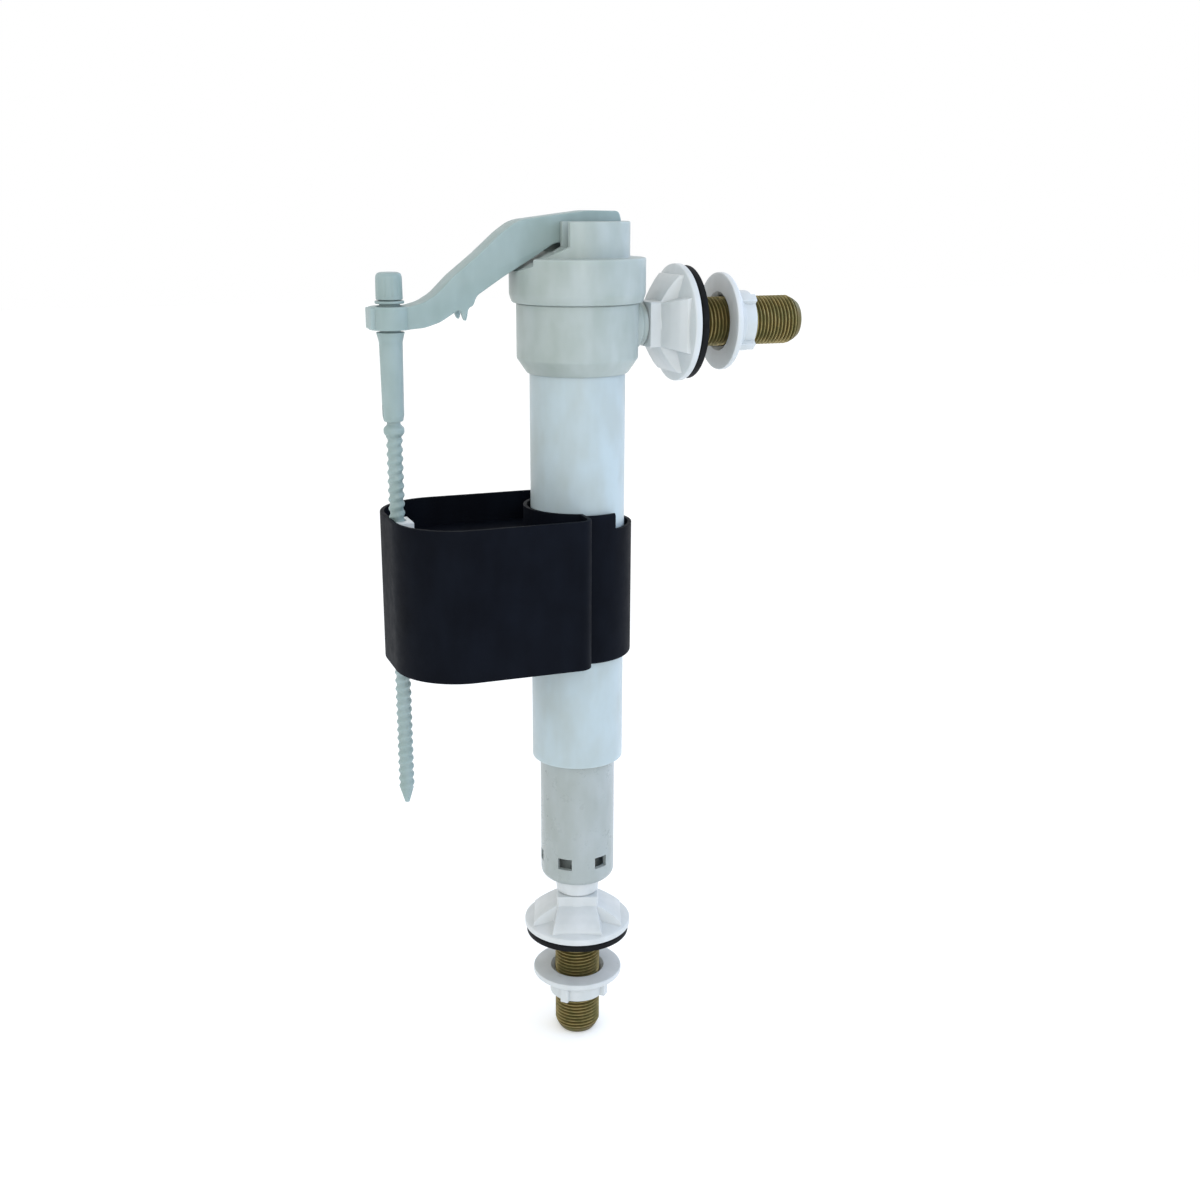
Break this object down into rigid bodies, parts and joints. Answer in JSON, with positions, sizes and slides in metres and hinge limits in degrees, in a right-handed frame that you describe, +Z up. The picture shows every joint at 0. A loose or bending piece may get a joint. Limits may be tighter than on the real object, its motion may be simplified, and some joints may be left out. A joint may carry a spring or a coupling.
{
  "type": "float valve",
  "caption": "Cistern float valve: a column with side and bottom threaded inlets, and a lever-hung cup float with a screw adjusting rod.",
  "frame": {"origin": "on the column's axis at the underside of the bottom sealing washer, which rests on the cistern's floor", "axes": "+Z up the column, +X along the side inlet, the lever and the float towards -X"},
  "size_m": [0.1514, 0.058, 0.3016],
  "materials": {
    "column_plastic": "translucent natural polypropylene, satin",
    "lever_plastic": "translucent grey-green acetal, satin",
    "fitting_plastic": "white moulded plastic, semi-gloss",
    "float_plastic": "black moulded plastic, satin",
    "brass": "turned, dull",
    "rubber": "matt black"
  },
  "bodies": {
    "column": {"valve_body": "column_plastic", "head_cap": "column_plastic", "head_gasket": "rubber", "main_seat": "fitting_plastic", "pilot_jet": "brass", "pivot_pin": "fitting_plastic", "riser_tube": "fitting_plastic", "riser_seal": "rubber", "drop_tube": "column_plastic", "lower_tube": "column_plastic", "bottom_inlet_spigot": "fitting_plastic", "bottom_inlet_shank": "brass", "bottom_seal_washer": "rubber", "bottom_nose_oring": "rubber", "bottom_inlet_strainer": "fitting_plastic", "side_inlet_spigot": "fitting_plastic", "side_inlet_shank": "brass", "side_seal_washer": "rubber", "side_nose_oring": "rubber", "side_inlet_strainer": "fitting_plastic"},
    "main_valve": {"diaphragm": "rubber", "metering_pin": "fitting_plastic"},
    "lever": {"lever_arm": "lever_plastic", "pilot_pad": "rubber"},
    "rod_guide": {"rod_sleeve": "lever_plastic"},
    "adjuster": {"threaded_rod": "lever_plastic", "adjuster_knob": "lever_plastic"},
    "float": {"float_cup": "float_plastic", "float_clip": "fitting_plastic"},
    "bottom_nut": {"bottom_backnut": "fitting_plastic"},
    "side_nut": {"side_backnut": "fitting_plastic"}
  },
  "joints": [
    {"name": "lever_swing", "type": "hinge", "parent": "column", "child": "lever", "pos_m": [-0.002, 0, 0.2543], "axis": [0, 1, 0], "range_deg": [0, 6]},
    {"name": "rod_tilt", "type": "hinge", "parent": "lever", "child": "rod_guide", "pos_m": [-0.0635, 0, 0.2278], "axis": [0, 1, 0], "range_deg": [-8, 0]},
    {"name": "adjuster_turn", "type": "hinge", "parent": "rod_guide", "child": "adjuster", "pos_m": [-0.0635, 0, 0.2278], "axis": [0, 0, 1], "range_deg": [-724, 724]},
    {"name": "float_adjust", "type": "slide", "parent": "rod_guide", "child": "float", "axis": [0, 0, 1], "range_m": [-0.006, 0.006]},
    {"name": "main_valve_lift", "type": "slide", "parent": "column", "child": "main_valve", "axis": [0, 0, 1], "range_m": [-0.00125, 0]},
    {"name": "bottom_nut_run", "type": "slide", "parent": "column", "child": "bottom_nut", "axis": [0, 0, 1], "range_m": [-0.012, 0.015]},
    {"name": "side_nut_run", "type": "slide", "parent": "column", "child": "side_nut", "axis": [-1, 0, 0], "range_m": [-0.0155, 0.0114]}
  ],
  "couplings": [
    {"joint": "rod_tilt", "follows": "lever_swing", "ratio": -1.2578},
    {"joint": "main_valve_lift", "follows": "lever_swing", "m_per_rad": -0.011459},
    {"joint": "adjuster_turn", "follows": "float_adjust", "rad_per_m": -2094.4}
  ]
}
